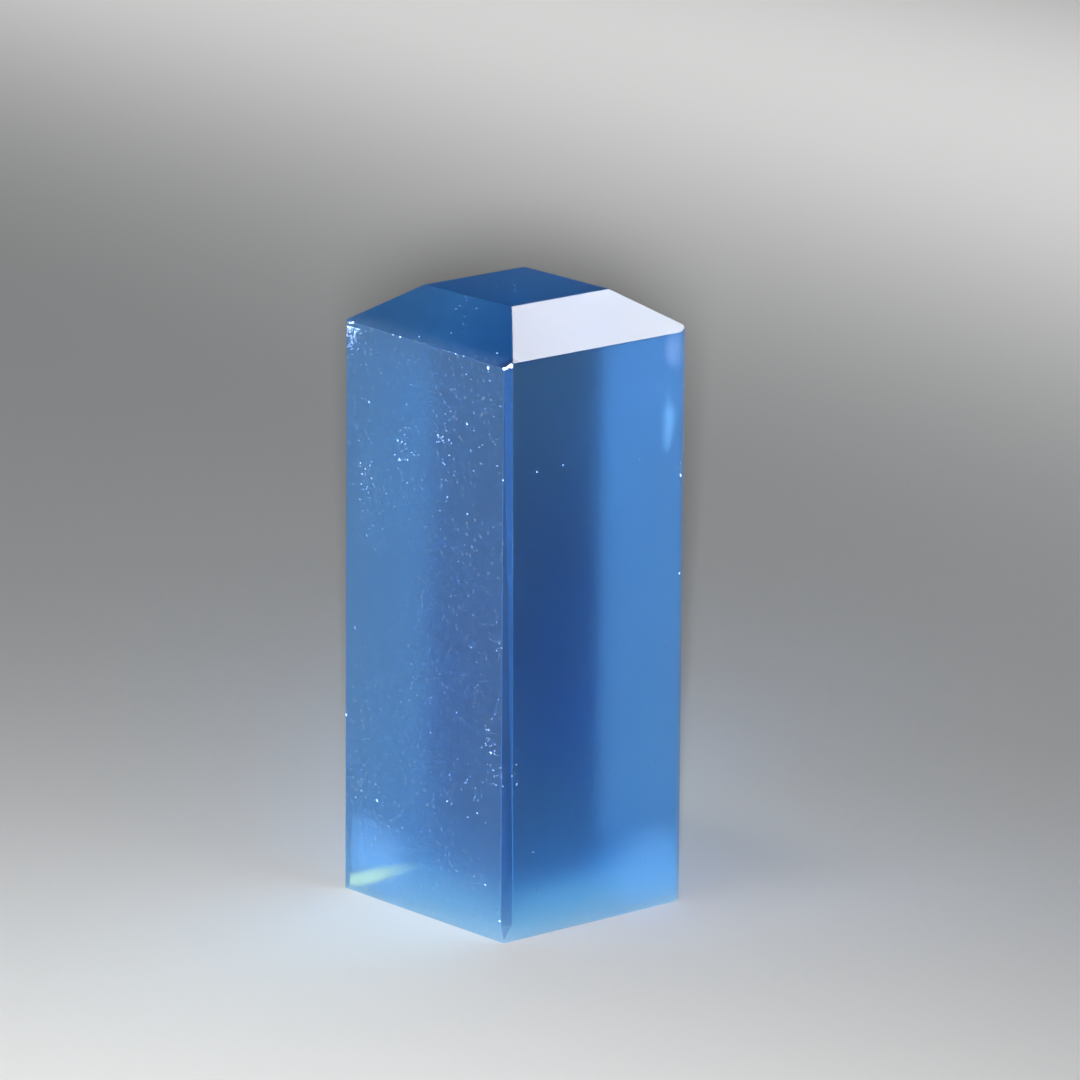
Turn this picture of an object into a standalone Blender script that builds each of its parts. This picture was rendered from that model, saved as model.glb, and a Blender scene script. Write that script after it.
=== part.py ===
"""Aquamarine crystal, cut and polished as a square prism with a low four-sided crown.

It is one solid. Units are metres, +Z is up, and the origin is the middle of the base.
The -Y face and the +X face meet at the near edge, the corner at +X and -Y.
"""

import bmesh
import bpy
from mathutils import Matrix, Vector

MM = 0.001

# Driving dimensions of the prism
WIDTH_X = 16.0 * MM
WIDTH_Y = 15.2 * MM
HEIGHT = 40.63 * MM

# The flat table on top, centred over the prism
TABLE_X = 8.3 * MM
TABLE_Y = 8.3 * MM

# Height of each crown facet's lower edge on its side face
SHOULDER_PLUS_X = 38.04 * MM
SHOULDER_PLUS_Y = 38.4 * MM
SHOULDER_MINUS_X = 38.15 * MM
# The facet over the -Y face is ground a little deeper towards the near edge
SHOULDER_MINUS_Y_FAR = 38.10 * MM
SHOULDER_MINUS_Y_NEAR = 37.73 * MM

# The near edge's bevel, as its width on the -Y face and on the +X face
# It is hand ground, so it twists, and it runs out in a point at the base
NEAR_BEVEL_LOW = (0.34 * MM, 0.80 * MM)
NEAR_BEVEL_HIGH = (0.41 * MM, 0.43 * MM)
NEAR_BEVEL_START = 1.1 * MM

# The bevel of the edge between the +X and +Y faces, as its width on each
RIGHT_BEVEL = (0.54 * MM, 0.30 * MM)

HALF_X = WIDTH_X / 2
HALF_Y = WIDTH_Y / 2
TOLERANCE = 0.001 * MM


def grind(mesh, points):
    """Grinds the stone flat along the plane through three points and closes the cut."""
    normal = (points[1] - points[0]).cross(points[2] - points[0]).normalized()
    middle = Vector((0, 0, HEIGHT / 2))
    if (middle - points[0]).dot(normal) > 0:
        normal = -normal
    geometry = mesh.verts[:] + mesh.edges[:] + mesh.faces[:]
    cut = bmesh.ops.bisect_plane(
        mesh, geom=geometry, dist=TOLERANCE, plane_co=points[0], plane_no=normal, clear_outer=True)
    rim = [item for item in cut["geom_cut"] if isinstance(item, bmesh.types.BMEdge)]
    bmesh.ops.contextual_create(mesh, geom=rim)


def rough_block(mesh):
    """Makes the sawn block, standing on its base."""
    size = Matrix.Diagonal((WIDTH_X, WIDTH_Y, HEIGHT, 1))
    bmesh.ops.create_cube(mesh, size=1, matrix=Matrix.Translation((0, 0, HEIGHT / 2)) @ size)


def bevel_near_edge(mesh):
    """Grinds the near edge to a narrow twisted strip that runs out in a point at the base."""
    low_left = Vector((HALF_X - NEAR_BEVEL_LOW[0], -HALF_Y, 0))
    low_right = Vector((HALF_X, -HALF_Y + NEAR_BEVEL_LOW[1], 0))
    high_left = Vector((HALF_X - NEAR_BEVEL_HIGH[0], -HALF_Y, HEIGHT))
    high_right = Vector((HALF_X, -HALF_Y + NEAR_BEVEL_HIGH[1], HEIGHT))
    grind(mesh, (low_left, low_right, low_left + Vector((0, 0, HEIGHT))))

    # The flat strip's top corners slide along their faces to the widths at the top
    for vertex in mesh.verts:
        if vertex.co.z > HEIGHT / 2:
            if (vertex.co.xy - low_left.xy).length < TOLERANCE:
                vertex.co = high_left
            elif (vertex.co.xy - low_right.xy).length < TOLERANCE:
                vertex.co = high_right

    # A ring just over the base lets the strip's lower end close to the sharp corner
    geometry = mesh.verts[:] + mesh.edges[:] + mesh.faces[:]
    ring_height = Vector((0, 0, NEAR_BEVEL_START))
    bmesh.ops.bisect_plane(
        mesh, geom=geometry, dist=TOLERANCE, plane_co=ring_height, plane_no=Vector((0, 0, 1)))
    corner = Vector((HALF_X, -HALF_Y, 0))
    reach = max(NEAR_BEVEL_LOW) + TOLERANCE
    foot = [vertex for vertex in mesh.verts if (vertex.co - corner).length < reach]
    bmesh.ops.pointmerge(mesh, verts=foot, merge_co=corner)


def bevel_right_edge(mesh):
    """Grinds the edge between the +X and +Y faces."""
    left = Vector((HALF_X, HALF_Y - RIGHT_BEVEL[0], 0))
    right = Vector((HALF_X - RIGHT_BEVEL[1], HALF_Y, 0))
    grind(mesh, (left, right, left + Vector((0, 0, HEIGHT))))


def crown(mesh):
    """Grinds the four crown facets, each from its shoulder up to the table's edge."""
    table_x = TABLE_X / 2
    table_y = TABLE_Y / 2
    facets = (
        ((HALF_X, -HALF_Y, SHOULDER_PLUS_X), (HALF_X, HALF_Y, SHOULDER_PLUS_X), (table_x, 0, HEIGHT)),
        ((-HALF_X, -HALF_Y, SHOULDER_MINUS_X), (-HALF_X, HALF_Y, SHOULDER_MINUS_X), (-table_x, 0, HEIGHT)),
        ((-HALF_X, HALF_Y, SHOULDER_PLUS_Y), (HALF_X, HALF_Y, SHOULDER_PLUS_Y), (0, table_y, HEIGHT)),
        ((-HALF_X, -HALF_Y, SHOULDER_MINUS_Y_FAR), (HALF_X, -HALF_Y, SHOULDER_MINUS_Y_NEAR),
         (0, -table_y, HEIGHT)),
    )
    for corners in facets:
        grind(mesh, [Vector(corner) for corner in corners])


def aquamarine():
    """Makes the stone's material: clear blue beryl with a polished surface."""
    material = bpy.data.materials.new("aquamarine")
    material.use_nodes = True
    shader = material.node_tree.nodes["Principled BSDF"]
    shader.inputs["Base Color"].default_value = (0.10, 0.26, 0.55, 1)
    shader.inputs["Roughness"].default_value = 0.08
    shader.inputs["Metallic"].default_value = 0.0
    shader.inputs["IOR"].default_value = 1.577
    shader.inputs["Transmission Weight"].default_value = 1.0
    return material


def crystal():
    """Builds the one solid."""
    mesh = bmesh.new()
    rough_block(mesh)
    bevel_near_edge(mesh)
    bevel_right_edge(mesh)
    crown(mesh)
    bmesh.ops.recalc_face_normals(mesh, faces=mesh.faces[:])

    data = bpy.data.meshes.new("crystal")
    mesh.to_mesh(data)
    mesh.free()
    data.materials.append(aquamarine())
    solid = bpy.data.objects.new("crystal", data)
    bpy.context.scene.collection.objects.link(solid)
    return solid


def main():
    for item in list(bpy.data.objects):
        bpy.data.objects.remove(item)
    crystal()


main()
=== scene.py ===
"""Dresses a cut and polished aquamarine column and sets it on a plain studio floor.

The file is laid out as a Blender add-on: property groups hold the sizes and colours,
one operator makes each group of pieces, and one panel in the sidebar lists them.
The -Y face and the +X face meet at the near edge, the corner at +X and -Y.
"""
import math
import random

import bpy
from bpy.props import FloatProperty, FloatVectorProperty, IntProperty, PointerProperty
from mathutils import Matrix, Quaternion, Vector, noise


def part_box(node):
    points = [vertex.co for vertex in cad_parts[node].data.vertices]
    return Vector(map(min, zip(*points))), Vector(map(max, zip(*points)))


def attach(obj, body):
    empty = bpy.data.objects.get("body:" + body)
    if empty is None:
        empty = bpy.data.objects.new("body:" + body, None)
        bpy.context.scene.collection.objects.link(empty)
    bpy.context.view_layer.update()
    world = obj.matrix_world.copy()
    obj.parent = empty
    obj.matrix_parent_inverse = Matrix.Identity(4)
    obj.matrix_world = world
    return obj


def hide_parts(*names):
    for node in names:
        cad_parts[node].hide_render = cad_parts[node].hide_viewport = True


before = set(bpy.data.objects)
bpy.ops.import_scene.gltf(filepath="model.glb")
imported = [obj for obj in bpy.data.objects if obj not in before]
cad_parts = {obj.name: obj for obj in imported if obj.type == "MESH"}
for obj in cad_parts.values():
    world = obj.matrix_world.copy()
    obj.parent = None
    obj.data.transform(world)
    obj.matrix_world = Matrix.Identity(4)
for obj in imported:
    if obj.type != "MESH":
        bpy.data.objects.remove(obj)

bl_info = {
    "name": "Aquamarine Column",
    "version": (1, 0, 0),
    "blender": (4, 5, 0),
    "location": "3D View > Sidebar > Aquamarine",
    "description": "Models a hazy blue aquamarine column with its nicks, specks and veils",
    "category": "Object",
}

MM = 0.001
NODE = "crystal"
BODY = "root"

# The stone's upper corner, from the frame
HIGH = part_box(NODE)[1]
HALF_X = HIGH.x
HALF_Y = HIGH.y
HEIGHT = HIGH.z
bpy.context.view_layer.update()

BERYL_IOR = 1.577

# Where the side faces end and the crown begins, along the near, the left and the right edge
NEAR_SHOULDER = 37.7 * MM
LEFT_SHOULDER = 38.05 * MM
RIGHT_SHOULDER = 38.0 * MM

# Half the width of the flat table on top
TABLE_HALF = 4.15 * MM

# A rigid frame for each polished face: a point on it, its direction across, and its normal
FACES = {
    "-Y": (Vector((0, -HALF_Y, 0)), Vector((1, 0, 0)), Vector((0, -1, 0))),
    "+X": (Vector((HALF_X, 0, 0)), Vector((0, 1, 0)), Vector((1, 0, 0))),
    "+Y": (Vector((0, HALF_Y, 0)), Vector((1, 0, 0)), Vector((0, 1, 0))),
    "-X": (Vector((-HALF_X, 0, 0)), Vector((0, 1, 0)), Vector((-1, 0, 0))),
}

# Nicks along the edges, each as its place and its radius in millimetres
NEAR_EDGE_NICKS = (
    (7.62, -7.59, 30.5, 0.06), (7.66, -7.59, 28.9, 0.05), (7.66, -7.59, 27.9, 0.06),
    (7.68, -7.59, 26.4, 0.06), (7.69, -7.59, 25.3, 0.07), (7.70, -7.59, 24.1, 0.05),
    (7.70, -7.59, 22.7, 0.08), (7.72, -7.59, 21.3, 0.06), (7.73, -7.59, 20.1, 0.08),
    (7.75, -7.58, 18.8, 0.17), (7.75, -7.58, 18.3, 0.09), (7.57, -7.58, 1.4, 0.10),
)
TOP_CHIP = ((7.62, -7.57, 37.74, 0.14), (7.74, -7.46, 37.80, 0.14), (7.86, -7.36, 37.88, 0.17),
            (7.95, -7.27, 37.95, 0.20))
RIGHT_EDGE_NICKS = ((7.98, 7.15, 28.6, 0.16), (7.97, 7.10, 22.1, 0.13), (7.98, 7.12, 29.4, 0.08))
SHOULDER_NICKS = (
    (-3.3, -7.58, 37.95, 0.06), (-2.6, -7.58, 37.93, 0.08), (2.2, -7.58, 37.85, 0.05),
    (2.9, -7.58, 37.83, 0.06), (3.7, -7.58, 37.82, 0.05), (6.1, -7.58, 37.50, 0.15),
)

# The bruise at the left shoulder: its nicks, how far it reaches across and down, and their radii
BRUISE_NICKS = 12
BRUISE_ACROSS = 0.7 * MM
BRUISE_DOWN = 1.3 * MM
BRUISE_RADII = (0.04, 0.10)

# Nicks on the other upright edges and at the foot of three faces, as radii in millimetres
EDGE_RADII = (0.05, 0.12)
FOOT_RADII = (0.05, 0.11)
RIGHT_EDGE_INSET = 0.15 * MM
NICK_FLATNESS = 0.8


def linear(hex_colour):
    """Turns an sRGB hex colour into linear red, green, blue and alpha."""
    channels = [int(hex_colour[i:i + 2], 16) / 255 for i in (1, 3, 5)]
    return tuple(c / 12.92 if c <= 0.04045 else ((c + 0.055) / 1.055) ** 2.4 for c in channels) + (1.0,)


def add_node(tree, kind, inputs=None, **properties):
    """Adds one shader node. An input is a plain value or another node's output."""
    node = tree.nodes.new(kind)
    for name, value in properties.items():
        setattr(node, name, value)
    for name, value in (inputs or {}).items():
        if isinstance(value, bpy.types.NodeSocket):
            tree.links.new(value, node.inputs[name])
        else:
            node.inputs[name].default_value = value
    return node


def remap(tree, value, start, end, low=0.0, high=1.0):
    """Maps the range from start to end onto the range from low to high."""
    return add_node(tree, "ShaderNodeMapRange", {
        "Value": value, "From Min": start, "From Max": end, "To Min": low, "To Max": high,
    }).outputs["Result"]


def arithmetic(tree, operation, *terms):
    """Does one operation on numbers and outputs."""
    return add_node(tree, "ShaderNodeMath", dict(enumerate(terms)), operation=operation).outputs["Value"]


def blend(tree, share, first, second):
    """Mixes two colours, where a share of 1 is all the second."""
    # A Mix node takes its colours at inputs 6 and 7, and gives the mixed colour at output 2
    return add_node(tree, "ShaderNodeMix", {0: share, 6: first, 7: second}, data_type="RGBA").outputs[2]


def noise_texture(tree, place, scale, detail, roughness=0.5):
    """Makes noise with the given number of lumps per metre."""
    return add_node(tree, "ShaderNodeTexNoise", {
        "Vector": place, "Scale": scale, "Detail": detail, "Roughness": roughness,
    }).outputs["Fac"]


def new_material(name):
    """Starts a material and returns it with its empty node tree and the place on the object."""
    material = bpy.data.materials.new(name)
    material.use_nodes = True
    tree = material.node_tree
    tree.nodes.clear()
    place = add_node(tree, "ShaderNodeTexCoord").outputs["Object"]
    return material, tree, place


def principled(tree, inputs):
    """Gives a material its surface and returns the output node."""
    shader = add_node(tree, "ShaderNodeBsdfPrincipled", inputs)
    return add_node(tree, "ShaderNodeOutputMaterial", {"Surface": shader.outputs["BSDF"]})


def deselect_all():
    """Clears the selection that loading the frame or the last piece left."""
    if bpy.context.object and bpy.context.object.mode != "OBJECT":
        bpy.ops.object.mode_set(mode="OBJECT")
    bpy.ops.object.select_all(action="DESELECT")


def give_materials(piece, materials):
    """Replaces whatever materials a piece has."""
    piece.data.materials.clear()
    for material in materials:
        piece.data.materials.append(material)


def join(pieces, name):
    """Joins pieces into one."""
    deselect_all()
    for piece in pieces:
        piece.select_set(True)
    bpy.context.view_layer.objects.active = pieces[0]
    bpy.ops.object.join()
    joined = bpy.context.object
    joined.name = joined.data.name = name
    return joined


def half_across(face):
    """How far a face reaches to each side of its middle."""
    return HALF_X if face in ("-Y", "+Y") else HALF_Y


def on_face(face, across, height, depth=0.0):
    """A point on one of the polished faces, or below it by a depth."""
    middle, side, normal = FACES[face]
    return middle + side * across + Vector((0, 0, height)) - normal * depth


def towards(azimuth, elevation):
    """The direction from the stone at an azimuth and elevation; azimuth 0 is the side of -Y."""
    flat = math.cos(elevation)
    return Vector((math.sin(azimuth) * flat, -math.cos(azimuth) * flat, math.sin(elevation)))


class StoneSettings(bpy.types.PropertyGroup):
    """The stone's finish."""

    polish_radius: FloatProperty(
        name="Edge radius", description="Radius that polishing left on the sharp edges",
        default=0.05 * MM, unit="LENGTH")
    haze: FloatProperty(
        name="Haze", description="How much the inside blurs what is seen through it",
        default=0.33, min=0, max=1, subtype="FACTOR")
    scuffed_haze: FloatProperty(
        name="Haze of the -Y face", description="The same for the -Y face, which is scuffed",
        default=0.40, min=0, max=1, subtype="FACTOR")
    surface_colour: FloatVectorProperty(
        name="Surface colour", description="Colour that light takes where it passes the surface",
        default=linear("#b2d6fb")[:3], size=3, subtype="COLOR")
    # The bevel's darker colour is painted shade: it dims the bright floor seen through the bevel, and does
    # not come from a weaker polish
    bevel_shade_colour: FloatVectorProperty(
        name="Bevel painted shade", description="The same for the near edge's bevel, which was polished least",
        default=linear("#7b8fbd")[:3], size=3, subtype="COLOR")
    depth_colour: FloatVectorProperty(
        name="Body colour", description="Colour that light takes on its way through",
        default=linear("#78cbe8")[:3], size=3, subtype="COLOR")
    depth_density: FloatProperty(
        name="Colour depth", description="How strongly the stone absorbs, per metre",
        default=85.0)


class WearSettings(bpy.types.PropertyGroup):
    """Nicks, specks and veils."""

    seed: IntProperty(name="Seed", description="Start of the random places", default=11)
    hidden_nicks: IntProperty(
        name="Nicks on the other edges", description="Number on each edge away from the near one", default=7)
    specks: IntProperty(
        name="Specks on the -Y face", description="Number of specks on the face that has most", default=340)
    speck_size: FloatProperty(
        name="Speck size", description="Radius of an ordinary speck", default=0.045 * MM, unit="LENGTH")
    speck_colour: FloatVectorProperty(
        name="Speck colour", description="Pale grit and pits",
        default=linear("#bcd2f4")[:3], size=3, subtype="COLOR")


class StageSettings(bpy.types.PropertyGroup):
    """The camera and the floor."""

    azimuth: FloatProperty(
        name="Camera azimuth", description="Angle of the camera round the stone, from the -Y side",
        default=math.radians(49.26), subtype="ANGLE")
    elevation: FloatProperty(
        name="Camera elevation", description="Angle of the camera above the floor",
        default=math.radians(14.41), subtype="ANGLE")
    roll: FloatProperty(
        name="Camera roll", description="Turn of the camera about its own line of sight",
        default=math.radians(0.45), subtype="ANGLE")
    distance: FloatProperty(
        name="Camera distance", description="From the camera to the point it looks at",
        default=545.6 * MM, unit="LENGTH")
    lens: FloatProperty(
        name="Focal length", description="In millimetres, on a sensor 36 mm wide", default=281.6)
    aim_right: FloatProperty(
        name="Aim to the right", description="How far right of the stone's axis the camera looks",
        default=1.584 * MM, unit="LENGTH")
    aim_height: FloatProperty(
        name="Aim height", description="Height of the point that the camera looks at",
        default=23.865 * MM, unit="LENGTH")
    floor_colour: FloatVectorProperty(
        name="Floor colour", description="The pale paper of the floor",
        default=linear("#ececea")[:3], size=3, subtype="COLOR")


def scuffs(tree, y):
    """Marks the -Y face, whose scuffs fade out just behind it."""
    return remap(tree, y, -HALF_Y + 0.75 * MM, -HALF_Y + 0.1 * MM)


def near_bevel_shade_mask(tree, x, y):
    """Marks the near edge's bevel, which lies off both faces and near their corner, for its painted shade.
    """
    off_right_face = remap(tree, x, HALF_X - 0.02 * MM, HALF_X - 0.05 * MM)
    off_left_face = remap(tree, y, -HALF_Y + 0.02 * MM, -HALF_Y + 0.05 * MM)
    corner = HALF_X + HALF_Y
    diagonal = arithmetic(tree, "SUBTRACT", x, y)
    near_corner = remap(tree, diagonal, corner - 1.2 * MM, corner - 1.1 * MM)
    off_faces = arithmetic(tree, "MULTIPLY", off_right_face, off_left_face)
    return arithmetic(tree, "MULTIPLY", off_faces, near_corner)


def polished_beryl(settings):
    """Aquamarine is clear blue beryl. The fine haze of tiny inclusions blurs what is seen through it,
    and the polish on top stays sharp. Dust lies most on the -Y face."""
    material, tree, place = new_material("Polished aquamarine")
    axes = add_node(tree, "ShaderNodeSeparateXYZ", {"Vector": place})
    scuffed = scuffs(tree, axes.outputs["Y"])

    # Cloudy patches a few millimetres wide, and dust grains half a millimetre apart
    clouds = noise_texture(tree, place, 1 / (5 * MM), 3.0, 0.6)
    grains = add_node(tree, "ShaderNodeTexVoronoi", {"Vector": place, "Scale": 1 / (0.5 * MM)})
    dots = remap(tree, grains.outputs["Distance"], 0.28, 0.12)
    dust = arithmetic(tree, "MULTIPLY", dots, remap(tree, clouds, 0.36, 0.64))
    left_dust = arithmetic(tree, "MULTIPLY", dust, scuffed)

    # Roughness: the face's own haze, uneven with the clouds, and higher on the dust
    face_haze = remap(tree, scuffed, 0.0, 1.0, settings.haze, settings.scuffed_haze)
    uneven = remap(tree, clouds, 0.3, 0.7, -0.03, 0.03)
    cloudy = arithmetic(tree, "ADD", face_haze, uneven)
    dusty = arithmetic(tree, "MULTIPLY_ADD", left_dust, 0.16, cloudy)

    # The scuffed face and the dust on it scatter a little light instead of passing it
    clear = arithmetic(tree, "MULTIPLY_ADD", scuffed, -0.02, 1.0)
    passed = arithmetic(tree, "MULTIPLY_ADD", left_dust, -0.08, clear)

    colour = blend(tree, left_dust, (*settings.surface_colour, 1), linear("#d9e9fc"))
    # The near bevel gets a darker tint, which is painted shade over the bright floor seen through it
    bevel = near_bevel_shade_mask(tree, axes.outputs["X"], axes.outputs["Y"])
    output = principled(tree, {
        "Base Color": blend(tree, bevel, colour, (*settings.bevel_shade_colour, 1)),
        "Roughness": dusty,
        "Transmission Weight": passed,
        "IOR": BERYL_IOR,
        "Specular Tint": (0.02, 0.12, 0.45, 1),
        "Coat Weight": 0.14,
        "Coat Roughness": 0.02,
        "Coat IOR": BERYL_IOR,
    })
    absorption = add_node(tree, "ShaderNodeVolumeAbsorption", {
        "Color": (*settings.depth_colour, 1), "Density": settings.depth_density,
    })
    tree.links.new(absorption.outputs["Volume"], output.inputs["Volume"])
    return material


def ground_beryl():
    """The base is ground and not polished, so it is a matt white that throws light back into the stone."""
    material, tree, place = new_material("Ground aquamarine")
    grit = noise_texture(tree, place, 1 / (0.3 * MM), 4.0)
    tone = blend(tree, grit, linear("#ece6d8"), linear("#fbf8ee"))
    principled(tree, {"Base Color": tone, "Roughness": 0.9})
    return material


def chipped_beryl():
    """Beryl breaks like glass, in small shell-shaped chips that look white against the blue."""
    material, tree, place = new_material("Chipped aquamarine")
    ripples = noise_texture(tree, place, 1 / (0.08 * MM), 2.0)
    tone = blend(tree, ripples, linear("#7fa6dc"), linear("#f2f7ff"))
    bump = add_node(tree, "ShaderNodeBump", {"Height": ripples, "Strength": 0.4, "Distance": 0.02 * MM})
    principled(tree, {
        "Base Color": tone, "Roughness": 0.35, "IOR": BERYL_IOR, "Normal": bump.outputs["Normal"],
    })
    return material


def pale_grit(settings):
    """Specks of polishing grit and open pits. Each one catches the light a little differently."""
    material, tree, place = new_material("Polishing grit")
    patches = noise_texture(tree, place, 1 / (1.2 * MM), 1.0)
    tone = blend(tree, patches, linear("#5a86cc"), (*settings.speck_colour, 1))
    principled(tree, {"Base Color": tone, "Roughness": 0.6})
    return material


def healed_crack_and_painted_glow():
    """A crack that healed while the crystal grew shows as a milky veil with a ragged edge. The same material
    colours the pale sheets of painted glow near the base.
    """
    material, tree, place = new_material("Healed crack and painted glow")
    veil = add_node(tree, "ShaderNodeAttribute", attribute_name="veil")
    ragged = remap(tree, noise_texture(tree, place, 1 / (0.7 * MM), 3.0), 0.3, 0.7, 0.55, 1.0)
    cover = arithmetic(tree, "MULTIPLY", veil.outputs["Alpha"], ragged)
    principled(tree, {"Base Color": veil.outputs["Color"], "Roughness": 0.8, "Alpha": cover})
    return material


def studio_paper(colour):
    """Seamless background paper: matt, with a faint unevenness."""
    material, tree, place = new_material("Studio paper")
    grain = noise_texture(tree, place, 900.0, 2.0)
    bump = add_node(tree, "ShaderNodeBump", {"Height": grain, "Strength": 0.05, "Distance": 0.2 * MM})
    principled(tree, {"Base Color": (*colour, 1), "Roughness": 0.9, "Normal": bump.outputs["Normal"]})
    return material


def grain_template(name):
    """Models one rough grain of radius 1, to be copied."""
    deselect_all()
    bpy.ops.mesh.primitive_ico_sphere_add(subdivisions=1, radius=1)
    grain = bpy.context.object
    grain.name = name
    bpy.ops.object.mode_set(mode="EDIT")
    bpy.ops.mesh.vertices_smooth(factor=0.1)
    bpy.ops.object.mode_set(mode="OBJECT")
    return grain


def scatter(template, places, rng, name):
    """Copies the grain to each place, jagged and turned at random, and joins the copies.

    A place is its centre, its radius, and its normal with how flat it lies along it."""
    copies = []
    for centre, radius, normal, flatness in places:
        copy = template.copy()
        copy.data = template.data.copy()
        turn = Quaternion((rng.gauss(0, 1), rng.gauss(0, 1), rng.gauss(0, 1), rng.gauss(0, 1))).normalized()
        lay = normal.to_track_quat("Z", "Y").to_matrix()
        squash = lay @ Matrix.Diagonal((radius, radius, radius * flatness)) @ lay.transposed()
        for vertex in copy.data.vertices:
            jagged = vertex.co * rng.uniform(0.65, 1.2)
            vertex.co = squash @ (turn @ jagged) + centre
        bpy.context.scene.collection.objects.link(copy)
        copies.append(copy)
    bpy.data.objects.remove(template)
    return join(copies, name)


def nick_places(settings, rng):
    """Lists every nick: those seen from the front, and random ones on the other edges."""
    outwards = Vector((1, -1, 0)).normalized()
    rows = NEAR_EDGE_NICKS + TOP_CHIP + RIGHT_EDGE_NICKS + SHOULDER_NICKS
    places = [(Vector(row[:3]) * MM, row[3] * MM, outwards, NICK_FLATNESS) for row in rows]

    def add(centre, radii):
        places.append((centre, rng.uniform(*radii) * MM, outwards, NICK_FLATNESS))

    # The left shoulder corner is bruised by many small blows
    for _ in range(BRUISE_NICKS):
        down = rng.random() ** 1.5 * BRUISE_DOWN
        add(Vector((-HALF_X + rng.uniform(0, BRUISE_ACROSS), -HALF_Y, LEFT_SHOULDER - down)), BRUISE_RADII)
    right_corner = (HALF_X - RIGHT_EDGE_INSET, HALF_Y - RIGHT_EDGE_INSET)
    for corner in ((-HALF_X, HALF_Y), right_corner, (-HALF_X, -HALF_Y)):
        for _ in range(settings.hidden_nicks):
            add(Vector((*corner, rng.uniform(1 * MM, RIGHT_SHOULDER))), EDGE_RADII)
    for face in ("+Y", "-X", "+X"):
        for _ in range(settings.hidden_nicks // 2):
            add(on_face(face, rng.uniform(-6.5, 6.5) * MM, 0.02 * MM), FOOT_RADII)
    return places


# The numbers of the stone's three materials, and the largest face that rounding an edge makes
POLISHED, GROUND, CHIPPED = range(3)
LARGEST_ROUNDED = 3 * MM * MM


def rounded_solid(context, finishes, radius):
    """Copies the frame's solid and rounds its edges. The facets stay dead flat, and the base is ground."""
    deselect_all()
    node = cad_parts[NODE]
    node.select_set(True)
    context.view_layer.objects.active = node
    bpy.ops.object.duplicate()
    stone = context.object
    stone.name = stone.data.name = "stone"
    give_materials(stone, finishes)

    bpy.ops.object.mode_set(mode="EDIT")
    bpy.ops.mesh.select_all(action="SELECT")
    bpy.ops.mesh.remove_doubles(threshold=0.001 * MM)
    bpy.ops.mesh.dissolve_limited(angle_limit=math.radians(0.1))
    bpy.ops.object.mode_set(mode="OBJECT")

    edge = stone.modifiers.new("Polished edges", "BEVEL")
    edge.width = radius
    edge.segments = 3
    edge.limit_method = "ANGLE"
    edge.angle_limit = math.radians(12)
    bpy.ops.object.modifier_apply(modifier=edge.name)

    for face in stone.data.polygons:
        face.material_index = GROUND if face.normal.z < -0.99 else POLISHED
        face.use_smooth = face.area < LARGEST_ROUNDED
    return stone


def cut_nicks(context, stone, cutter, finishes):
    """Cuts the nicks out of the stone. The cutter's own material makes their walls look chipped."""
    give_materials(cutter, finishes)
    for face in cutter.data.polygons:
        face.material_index = CHIPPED
    deselect_all()
    stone.select_set(True)
    context.view_layer.objects.active = stone
    nicks = stone.modifiers.new("Nicks", "BOOLEAN")
    nicks.operation = "DIFFERENCE"
    nicks.object = cutter
    nicks.use_self = True
    bpy.ops.object.modifier_apply(modifier=nicks.name)
    bpy.data.objects.remove(cutter)


class AQUAMARINE_OT_stone(bpy.types.Operator):
    """Makes the polished stone from the frame's solid, with its rounded and nicked edges"""
    bl_idname = "aquamarine.stone"
    bl_label = "Stone"
    bl_options = {"REGISTER", "UNDO"}

    def execute(self, context):
        settings = context.scene.aquamarine_stone
        wear = context.scene.aquamarine_wear
        rng = random.Random(wear.seed)
        finishes = (polished_beryl(settings), ground_beryl(), chipped_beryl())
        stone = rounded_solid(context, finishes, settings.polish_radius)
        cutter = scatter(grain_template("nick"), nick_places(wear, rng), rng, "nick cutter")
        cut_nicks(context, stone, cutter, finishes)
        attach(stone, BODY)
        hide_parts(NODE)
        return {"FINISHED"}


# Specks that stand out from a step away: face, across, height and radius in millimetres
BRIGHT_SPECKS = (
    ("-Y", -4.76, 6.63, 0.17), ("-Y", 6.12, 3.48, 0.13), ("-Y", 6.63, 12.38, 0.11),
    ("-Y", -7.05, 17.78, 0.10), ("-Y", 2.14, 28.34, 0.08), ("-Y", 4.12, 27.61, 0.11),
    ("-Y", 4.07, 33.49, 0.12), ("-Y", -6.38, 28.20, 0.13), ("-Y", -6.05, 28.6, 0.10),
    ("-Y", -6.55, 28.9, 0.10), ("-Y", -5.4, 28.1, 0.08), ("-Y", -5.69, 33.10, 0.11),
    ("-Y", -2.8, 31.1, 0.11), ("-Y", -2.6, 29.9, 0.11), ("-Y", -1.4, 30.6, 0.08),
    ("-Y", 1.2, 32.2, 0.12), ("-Y", 1.7, 32.2, 0.09), ("-Y", 2.3, 32.1, 0.09), ("-Y", 1.3, 31.8, 0.08),
    ("-Y", 5.3, 8.1, 0.10), ("-Y", 2.3, 8.2, 0.09), ("-Y", -2.2, 5.4, 0.08), ("-Y", -3.4, 2.7, 0.08),
    ("-Y", -7.94, 11.73, 0.14), ("-Y", -6.9, 9.5, 0.07), ("-Y", 0.6, 12.4, 0.07), ("-Y", 3.2, 14.3, 0.09),
    ("+X", -5.10, 30.72, 0.07), ("+X", -2.92, 30.84, 0.07), ("+X", 6.8, 29.2, 0.08),
)

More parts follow.
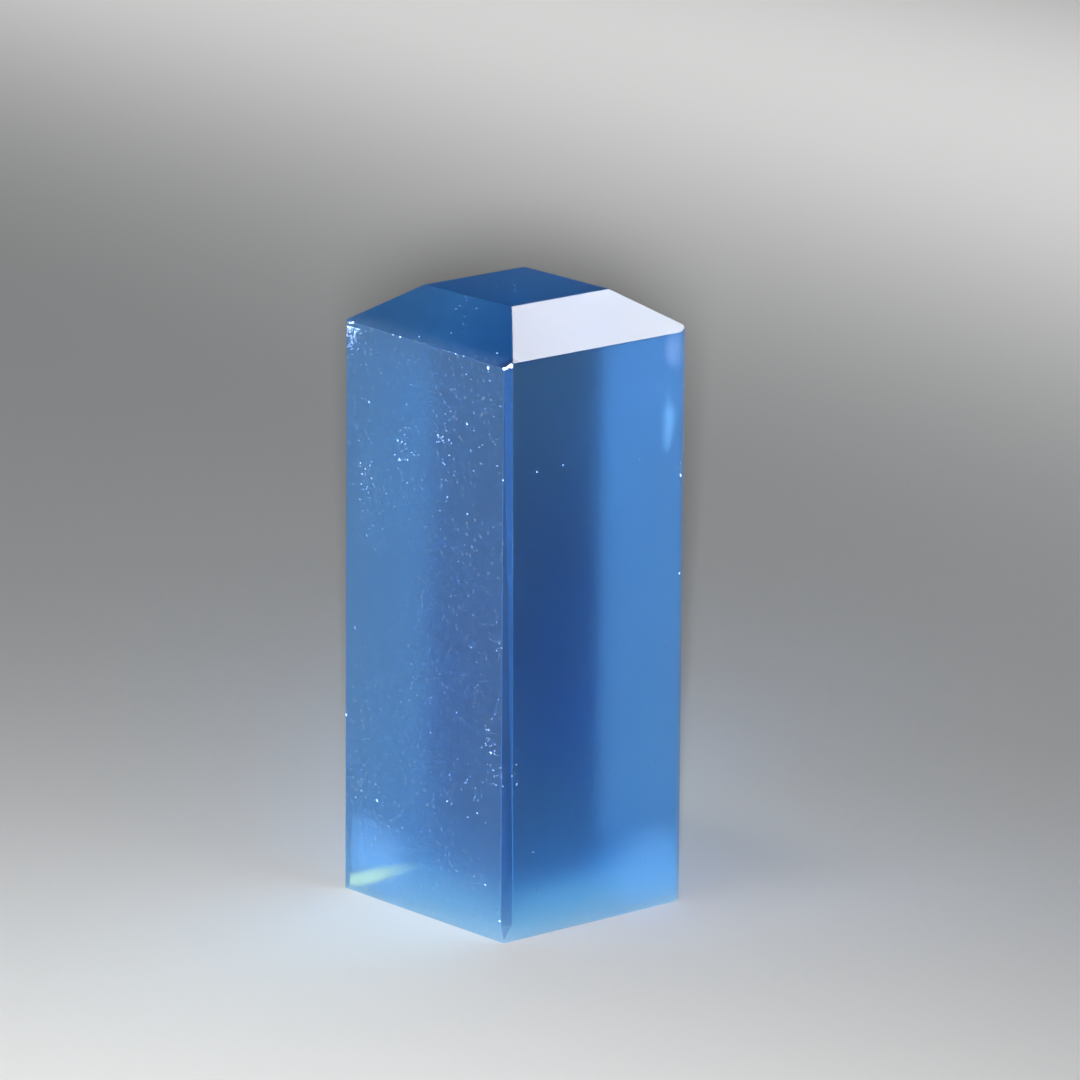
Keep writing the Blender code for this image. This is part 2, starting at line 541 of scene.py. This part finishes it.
# Rubbed patches, where specks crowd: face, across, height, reach and number
RUBBED_PATCHES = (
    ("-Y", -5.8, 28.3, 0.9, 26), ("-Y", -2.1, 30.5, 0.9, 22), ("-Y", 2.0, 32.0, 1.0, 22),
    ("-Y", 6.6, 12.6, 0.9, 26), ("-Y", 7.2, 10.8, 0.6, 8), ("-Y", -7.5, 37.3, 0.6, 90),
    ("-Y", -6.9, 37.6, 0.6, 40), ("-Y", 7.4, 19.5, 0.4, 10), ("+X", -6.9, 11.0, 0.5, 5),
    ("-Y", -7.3, 17.5, 0.6, 10), ("-Y", 5.6, 3.9, 0.7, 10),
)

# How many specks each other face has, as a share of the -Y face's
SPECK_SHARES = {"-Y": 1.0, "+X": 0.12, "+Y": 0.05, "-X": 0.05}

# The same for the crown facet over the -Y face and for the table, and how far specks reach across them
CROWN_SHARE = 0.06
TABLE_SHARE = 0.04
CROWN_FOOT = NEAR_SHOULDER + 0.25 * MM
CROWN_FOOT_REACH = 7.2 * MM
TABLE_REACH = 3.8 * MM

# How thick a speck is against its width, on the faces and on the crown, and how far it is sunk in a face
FACE_FLATNESS = 0.22
CROWN_FLATNESS = 0.3
SUNK_SHARE = 0.1


def crown_specks(settings, rng):
    """Lists the few specks of the crown facet over the -Y face and of the table."""
    places = []
    slope = Vector((0, -(HEIGHT - LEFT_SHOULDER), HALF_Y - TABLE_HALF)).normalized()
    for _ in range(int(settings.specks * CROWN_SHARE)):
        rise = rng.random()
        reach = (1 - rise) * CROWN_FOOT_REACH + rise * TABLE_REACH
        centre = Vector((rng.uniform(-reach, reach), -HALF_Y + rise * (HALF_Y - TABLE_HALF),
                         CROWN_FOOT + rise * (HEIGHT - CROWN_FOOT)))
        places.append((centre, settings.speck_size * rng.uniform(0.6, 1.4), slope, CROWN_FLATNESS))
    for _ in range(int(settings.specks * TABLE_SHARE)):
        x = rng.uniform(-TABLE_REACH, TABLE_REACH)
        y = rng.uniform(-TABLE_REACH, TABLE_REACH)
        radius = settings.speck_size * rng.uniform(0.8, 1.3)
        places.append((Vector((x, y, HEIGHT)), radius, Vector((0, 0, 1)), CROWN_FLATNESS))
    return places


class AQUAMARINE_OT_specks(bpy.types.Operator):
    """Strews grit and pits over the polished faces, most of them on the -Y face"""
    bl_idname = "aquamarine.specks"
    bl_label = "Specks"
    bl_options = {"REGISTER", "UNDO"}

    def execute(self, context):
        settings = context.scene.aquamarine_wear
        rng = random.Random(settings.seed + 1)
        places = []

        def add(face, across, height, radius):
            centre = on_face(face, across, height, radius * SUNK_SHARE)
            places.append((centre, radius, FACES[face][2], FACE_FLATNESS))

        # The faint specks gather where smooth noise is high
        for face, share in SPECK_SHARES.items():
            reach = half_across(face) - 0.6 * MM
            left = int(settings.specks * share)
            while left:
                across = rng.uniform(-reach, reach)
                height = rng.uniform(0.5 * MM, NEAR_SHOULDER - 0.4 * MM)
                crowd = noise.noise(Vector((across, height, reach)) / (4 * MM))
                if rng.random() < 0.35 + crowd:
                    add(face, across, height, settings.speck_size * rng.uniform(0.6, 1.5))
                    left -= 1
        for face, across, height, radius in BRIGHT_SPECKS:
            add(face, across * MM, height * MM, radius * MM)
        for face, across, height, reach, number in RUBBED_PATCHES:
            limit = half_across(face) - 0.1 * MM
            for _ in range(number):
                x = max(-limit, min(limit, (across + rng.gauss(0, reach / 2)) * MM))
                z = min(NEAR_SHOULDER, (height + rng.gauss(0, reach)) * MM)
                add(face, x, z, settings.speck_size * rng.uniform(0.8, 1.6))
        places += crown_specks(settings, rng)

        specks = scatter(grain_template("speck"), places, rng, "specks")
        give_materials(specks, [pale_grit(settings)])
        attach(specks, BODY)
        return {"FINISHED"}


# Milky veils just inside the faces, and three pale sheets of painted glow low in the stone: face, across,
# height, depth, half width, half height and slope, with lengths in millimetres, then the colour and how
# dense the middle is
VEILS = (
    ("+X", 6.25, 32.1, 0.50, 0.75, 2.10, 0.0, "#a9d6f6", 0.80),
    ("+X", 6.60, 36.9, 0.50, 1.00, 1.50, 0.0, "#b8c8ea", 0.60),
    # The last three rows are painted glow, not cracks: pale sheets that stand in for the bright band of
    # light near the base
    ("-Y", -7.50, 0.55, 0.25, 7.50, 0.75, 0.38, "#fcffd2", 1.00),
    ("-Y", -5.50, 2.40, 0.50, 5.00, 4.00, 0.0, "#a4d0f0", 0.50),
    ("+X", 5.20, 2.40, 0.50, 4.50, 4.00, 0.0, "#9ccdf0", 0.45),
)

# How far a veil stays inside the stone's outline, how far it bends and how thick it is
VEIL_MARGIN = 0.3 * MM
VEIL_WAVE = 0.04 * MM
VEIL_THICKNESS = 0.02 * MM


def veil_sheet(context, face, across, height, depth, half_width, half_height, slope, tone, density):
    """Makes one veil, as a row of VEILS describes it."""
    deselect_all()
    bpy.ops.mesh.primitive_grid_add(x_subdivisions=20, y_subdivisions=20, size=2)
    sheet = context.object
    side, normal = FACES[face][1:]
    up = Vector((0, 0, 1))
    veil = sheet.data.color_attributes.new("veil", "FLOAT_COLOR", "POINT")
    middle = on_face(face, across * MM, height * MM, depth * MM)
    for vertex in sheet.data.vertices:
        # The square grid becomes a round sheet, densest in the middle
        u = vertex.co.x * math.sqrt(1 - vertex.co.y ** 2 / 2)
        v = vertex.co.y * math.sqrt(1 - vertex.co.x ** 2 / 2)
        fade = max(0.0, 1 - u * u - v * v) ** 2
        veil.data[vertex.index].color = (*linear(tone)[:3], density * fade)
        aside = u * half_width
        rise = v * half_height + slope * aside
        wave = VEIL_WAVE * noise.noise(Vector((u, v, across)) * 2)
        vertex.co = middle + (side * aside + up * rise) * MM + normal * wave

    # It is trimmed where it would leave the stone
    rim = half_across(face) - VEIL_MARGIN
    bpy.ops.object.mode_set(mode="EDIT")
    for point, outwards in ((side * rim, side), (-side * rim, -side), (up * VEIL_MARGIN, -up)):
        bpy.ops.mesh.select_all(action="SELECT")
        bpy.ops.mesh.bisect(plane_co=point, plane_no=outwards, clear_outer=True)
    bpy.ops.object.mode_set(mode="OBJECT")
    wall = sheet.modifiers.new("Thickness", "SOLIDIFY")
    wall.thickness = VEIL_THICKNESS
    bpy.ops.object.modifier_apply(modifier=wall.name)
    bpy.ops.object.shade_smooth()
    return sheet


class AQUAMARINE_OT_veils(bpy.types.Operator):
    """Hangs the milky veils of healed cracks, and the pale sheets of painted glow near the base, just inside
    the faces
    """
    bl_idname = "aquamarine.veils"
    bl_label = "Veils"
    bl_options = {"REGISTER", "UNDO"}

    def execute(self, context):
        veils = join([veil_sheet(context, *row) for row in VEILS], "veils")
        bpy.ops.object.mode_set(mode="EDIT")
        bpy.ops.mesh.select_all(action="SELECT")
        bpy.ops.mesh.normals_make_consistent(inside=False)
        bpy.ops.object.mode_set(mode="OBJECT")
        give_materials(veils, [healed_crack_and_painted_glow()])
        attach(veils, BODY)
        return {"FINISHED"}


def area_light(name, position, target, radiance, width, height=None, spread=180, colour="#ffffff"):
    """Adds a softbox that faces a point."""
    data = bpy.data.lights.new(name, "AREA")
    data.shape = "RECTANGLE"
    data.size = width
    data.size_y = height or width
    data.energy = radiance * math.pi * data.size * data.size_y
    data.spread = math.radians(spread)
    data.color = linear(colour)[:3]
    lamp = bpy.data.objects.new(name, data)
    bpy.context.scene.collection.objects.link(lamp)
    lamp.location = position
    lamp.rotation_mode = "QUATERNION"
    lamp.rotation_quaternion = (Vector(target) - Vector(position)).to_track_quat("-Z", "Y")
    lamp.visible_camera = False
    return lamp


def lay_floor(settings):
    """Lays the paper a hair under the base, so that the two don't coincide."""
    deselect_all()
    bpy.ops.mesh.primitive_circle_add(vertices=96, radius=1.6, fill_type="NGON", location=(0, 0, -0.02 * MM))
    floor = bpy.context.object
    floor.name = floor.data.name = "floor"
    floor.data.materials.append(studio_paper(settings.floor_colour))


def dim_surroundings(context):
    """Darkens the room round the floor."""
    world = bpy.data.worlds.new("Dim studio")
    context.scene.world = world
    world.use_nodes = True
    background = world.node_tree.nodes["Background"]
    background.inputs["Color"].default_value = linear("#8f9bb0")
    background.inputs["Strength"].default_value = 0.01


def light_floor(azimuth, away, up):
    """Hangs the lamps that light the stone and the floor alike."""
    # The key stands almost in line with the camera, so the stone hides its own shadow
    area_light("key", towards(azimuth, math.radians(13.5)) * 1.6, up * 0.02,
               radiance=1920.0, width=0.08, colour="#fbfcff")
    # One lamp from above brightens the floor in front of the stone, and one the floor far behind it
    in_front = away * -0.10
    behind = away * 0.31
    area_light("front_lamp", in_front + up * 0.20, in_front,
               radiance=1.8, width=0.20, height=0.05, spread=60)
    area_light("back_lamp", behind + up * 0.20, behind,
               radiance=0.7, width=0.60, height=0.10, spread=50)
    # A narrow blue lamp fills the shadow, which the camera sees only through the stone
    area_light("shadow_lamp", away * 0.090 + up * 0.15, away * 0.095,
               radiance=0.65, width=0.006, height=0.12, spread=6, colour="#2a6cff")


def light_stone(azimuth, right, up):
    """Hangs the boxes that light only the stone. The crown facet over the +X face mirrors the first."""
    boxes = (
        area_light("crown_box", towards(math.radians(184.2), math.radians(50.7)) * 0.5, up * HEIGHT,
                   radiance=21.7, width=0.24, colour="#fff1d0"),
        area_light("inner_box", towards(azimuth, math.radians(35)) * 0.5, up * 0.02,
                   radiance=40.0, width=0.20),
        area_light("left_box", right * -0.3 + up * 0.02, up * 0.02,
                   radiance=3.8, width=0.2, height=0.3, colour="#c8d6ff"),
    )
    only_stone = bpy.data.collections.new("lit by the boxes")
    for name in ("stone", "specks", "veils"):
        only_stone.objects.link(bpy.data.objects[name])
    for box in boxes:
        box.light_linking.receiver_collection = only_stone


def set_camera(context, settings, right, up):
    """Puts the camera where the photograph was taken from."""
    back = towards(settings.azimuth, settings.elevation)
    aim = right * settings.aim_right + up * settings.aim_height
    data = bpy.data.cameras.new("camera")
    data.sensor_width = 36
    data.lens = settings.lens
    data.clip_start = 0.02
    camera = bpy.data.objects.new("camera", data)
    context.scene.collection.objects.link(camera)
    camera.location = aim + back * settings.distance
    camera.rotation_mode = "QUATERNION"
    camera.rotation_quaternion = (-back).to_track_quat("-Z", "Y") @ Quaternion((0, 0, 1), settings.roll)
    context.scene.camera = camera
    context.scene.view_settings.view_transform = "Standard"


class AQUAMARINE_OT_stage(bpy.types.Operator):
    """Lays the floor, hangs the lights and sets the camera"""
    bl_idname = "aquamarine.stage"
    bl_label = "Stage"
    bl_options = {"REGISTER", "UNDO"}

    def execute(self, context):
        settings = context.scene.aquamarine_stage
        azimuth = settings.azimuth
        right = Vector((math.cos(azimuth), math.sin(azimuth), 0))
        away = Vector((-math.sin(azimuth), math.cos(azimuth), 0))
        up = Vector((0, 0, 1))
        lay_floor(settings)
        dim_surroundings(context)
        light_floor(azimuth, away, up)
        light_stone(azimuth, right, up)
        set_camera(context, settings, right, up)
        return {"FINISHED"}


SETTINGS = {
    "aquamarine_stone": StoneSettings,
    "aquamarine_wear": WearSettings,
    "aquamarine_stage": StageSettings,
}
OPERATORS = (AQUAMARINE_OT_stone, AQUAMARINE_OT_specks, AQUAMARINE_OT_veils, AQUAMARINE_OT_stage)


class AQUAMARINE_PT_column(bpy.types.Panel):
    """Lists the pieces and the settings they are made from"""
    bl_idname = "AQUAMARINE_PT_column"
    bl_label = "Aquamarine Column"
    bl_space_type = "VIEW_3D"
    bl_region_type = "UI"
    bl_category = "Aquamarine"

    def draw(self, context):
        layout = self.layout
        for name, group in SETTINGS.items():
            box = layout.box()
            box.label(text=group.__doc__.rstrip("."))
            for prop in group.__annotations__:
                box.prop(getattr(context.scene, name), prop)
        for operator in OPERATORS:
            layout.operator(operator.bl_idname)


def register():
    for item in (*SETTINGS.values(), *OPERATORS, AQUAMARINE_PT_column):
        bpy.utils.register_class(item)
    for name, group in SETTINGS.items():
        setattr(bpy.types.Scene, name, PointerProperty(type=group))


def unregister():
    for name in SETTINGS:
        delattr(bpy.types.Scene, name)
    for item in (AQUAMARINE_PT_column, *reversed(OPERATORS), *SETTINGS.values()):
        bpy.utils.unregister_class(item)


def main():
    register()
    bpy.ops.aquamarine.stone()
    bpy.ops.aquamarine.specks()
    bpy.ops.aquamarine.veils()
    bpy.ops.aquamarine.stage()


if __name__ == "__main__":
    main()
